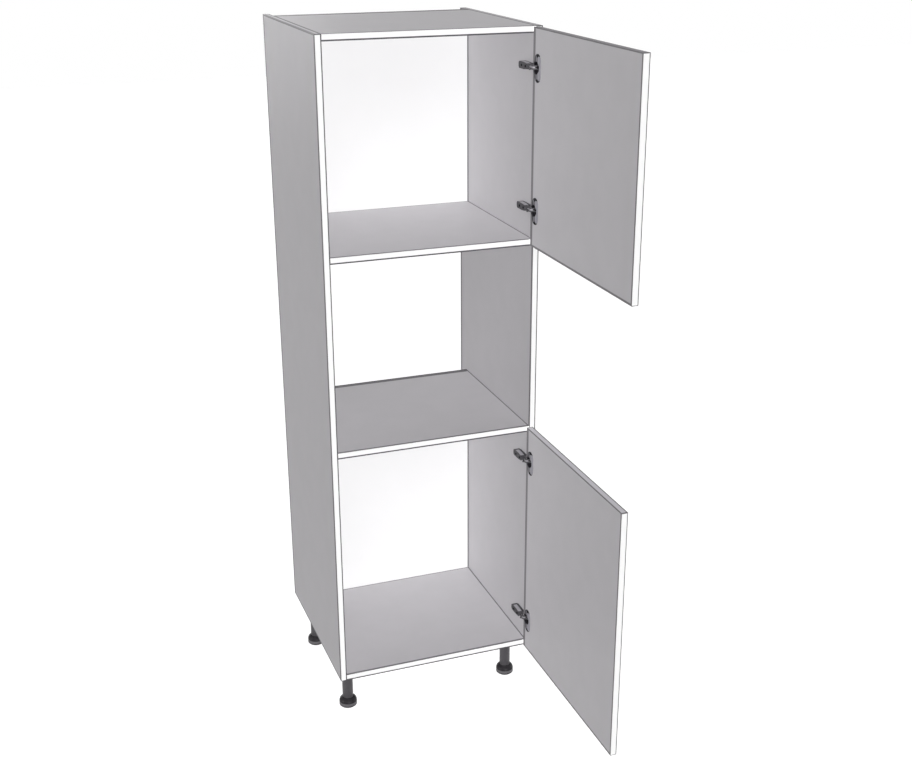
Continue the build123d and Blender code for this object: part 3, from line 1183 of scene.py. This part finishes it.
@dataclass
class CameraRig:
    """The photograph's point of view."""

    place: Point = (-1.121171, -3.206754, 2.309213)
    tilt_down: float = 21.8744
    turn_right: float = 20.7358
    sensor: float = 36.0
    lens: float = 52.561
    shift: PlanePoint = (-0.0151, 0.0400)

    def build(self) -> None:
        """Makes the camera and sets it as the scene's."""
        data = bpy.data.cameras.new("photo_view")
        data.sensor_fit = "HORIZONTAL"
        data.sensor_width = self.sensor
        data.lens = self.lens
        data.shift_x, data.shift_y = self.shift
        camera = bpy.data.objects.new("photo_view", data)
        camera.location = self.place
        camera.rotation_euler = (math.radians(90 - self.tilt_down), 0.0, -math.radians(self.turn_right))
        bpy.context.scene.collection.objects.link(camera)
        bpy.context.scene.camera = camera


def add_lamp(name: str, level: float, towards: Point, spread: float, shadow: bool) -> None:
    """Adds a lamp with parallel light.

    Args:
        name: name of the lamp.
        level: how bright it makes a white surface that faces it.
        towards: direction in which its light travels.
        spread: apparent size of the lamp in degrees.
        shadow: whether things cast a shadow in its light.
    """
    data = bpy.data.lights.new(name, "SUN")
    data.energy = level * math.pi
    data.angle = math.radians(spread)
    data.use_shadow = shadow
    lamp = bpy.data.objects.new(name, data)
    lamp.rotation_euler = Vector(towards).to_track_quat("-Z", "Y").to_euler()
    bpy.context.scene.collection.objects.link(lamp)


@dataclass
class Studio:
    """Pale floor, even world light, a soft key lamp and a tent of weak lamps on all sides."""

    floor_half: float = 14.0
    floor_shade: Colour = (240, 240, 240)
    floor_bounce: Colour = (120, 120, 120)
    floor_lift: float = 0.42
    floor_roughness: float = 0.9
    world_level: float = 0.08
    backdrop_level: float = 1.0
    key_level: float = 0.12
    key_towards: Point = (0.3, 0.83, -0.46)
    key_spread: float = 24.0
    tent_spread: float = 30.0
    front_level: float = 0.72
    rear_level: float = 0.45
    left_level: float = 0.53
    right_level: float = 0.28
    top_level: float = 0.53
    below_level: float = 0.12

    def lamps(self) -> None:
        """Adds the soft key and one weak lamp on each side of the tent."""
        add_lamp("soft_key", self.key_level, self.key_towards, self.key_spread, shadow=True)
        tent = (
            ("tent_front", self.front_level, (0.0, 1.0, 0.0)),
            ("tent_rear", self.rear_level, (0.0, -1.0, 0.0)),
            ("tent_left", self.left_level, (1.0, 0.0, 0.0)),
            ("tent_right", self.right_level, (-1.0, 0.0, 0.0)),
            ("tent_top", self.top_level, (0.0, 0.0, -1.0)),
            ("tent_below", self.below_level, (0.0, 0.0, 1.0)),
        )
        for name, level, towards in tent:
            add_lamp(name, level, towards, self.tent_spread, shadow=False)

    def world(self) -> None:
        """Makes a world that lights evenly and is seen as plain white."""
        world = bpy.data.worlds.new("studio_world")
        world.use_nodes = True
        graph = NodeGraph(world.node_tree)
        lighting = graph.tree.nodes["Background"]
        backdrop = graph.add("ShaderNodeBackground")
        for background, level in ((lighting, self.world_level), (backdrop, self.backdrop_level)):
            graph.feed(background.inputs["Color"], WHITE)
            graph.feed(background.inputs["Strength"], level)
        either = graph.add("ShaderNodeMixShader")
        graph.feed(either.inputs[0], graph.backdrop_ray())
        graph.feed(either.inputs[1], lighting.outputs[0])
        graph.feed(either.inputs[2], backdrop.outputs[0])
        graph.feed(graph.tree.nodes["World Output"].inputs["Surface"], either.outputs[0])
        bpy.context.scene.world = world

    def floor(self) -> None:
        """Lays a pale floor that looks white and still shows the cabinet's shadow."""
        half = self.floor_half
        corners = np.array([(-half, -half, 0), (half, -half, 0), (half, half, 0), (-half, half, 0)])
        floor = mesh_object("studio_floor", Surface(points=corners, quads=np.array([[0, 1, 2, 3]])))
        graph = MaterialGraph("studio_floor_paint")
        seen = graph.backdrop_ray()
        paint = graph.blend(seen, linear(self.floor_bounce), linear(self.floor_shade))
        graph.coat(paint, self.floor_roughness, sheen=0.0)
        graph.feed(graph.shader.inputs["Emission Color"], WHITE)
        lift = graph.maths("MULTIPLY", seen, self.floor_lift)
        graph.feed(graph.shader.inputs["Emission Strength"], lift)
        floor.data.materials.append(graph.material)

    def build(self) -> None:
        """Builds the lamps, the world and the floor, and sets the plain view transform."""
        self.lamps()
        self.world()
        self.floor()
        bpy.context.scene.view_settings.view_transform = "Standard"


def main() -> None:
    """Builds the camera, the studio and every sub-assembly in order, and reports each piece."""
    logging.basicConfig(level=logging.INFO, format="%(name)s: %(message)s", force=True)
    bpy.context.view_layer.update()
    CameraRig().build()
    Studio().build()
    wardrobe = Wardrobe()
    assemblies = [
        Carcass(wardrobe),
        Door(wardrobe, "door_upper", level_line=MERGED_LINE),
        Door(wardrobe, "door_lower"),
    ]
    assemblies += [Leg(wardrobe, corner) for corner in Corner]
    for assembly in assemblies:
        kind = type(assembly).__name__
        for piece in assembly.build():
            log.info("%s piece %s, %d faces", kind, piece.name, len(piece.data.polygons))
    for place in HingePlace:
        log.info("hinge %s, %d solids dressed", place, Hinge(wardrobe, place).build())
    log.info("fasteners, %d groups dressed", Fasteners(wardrobe).build())


if __name__ == "__main__":
    main()
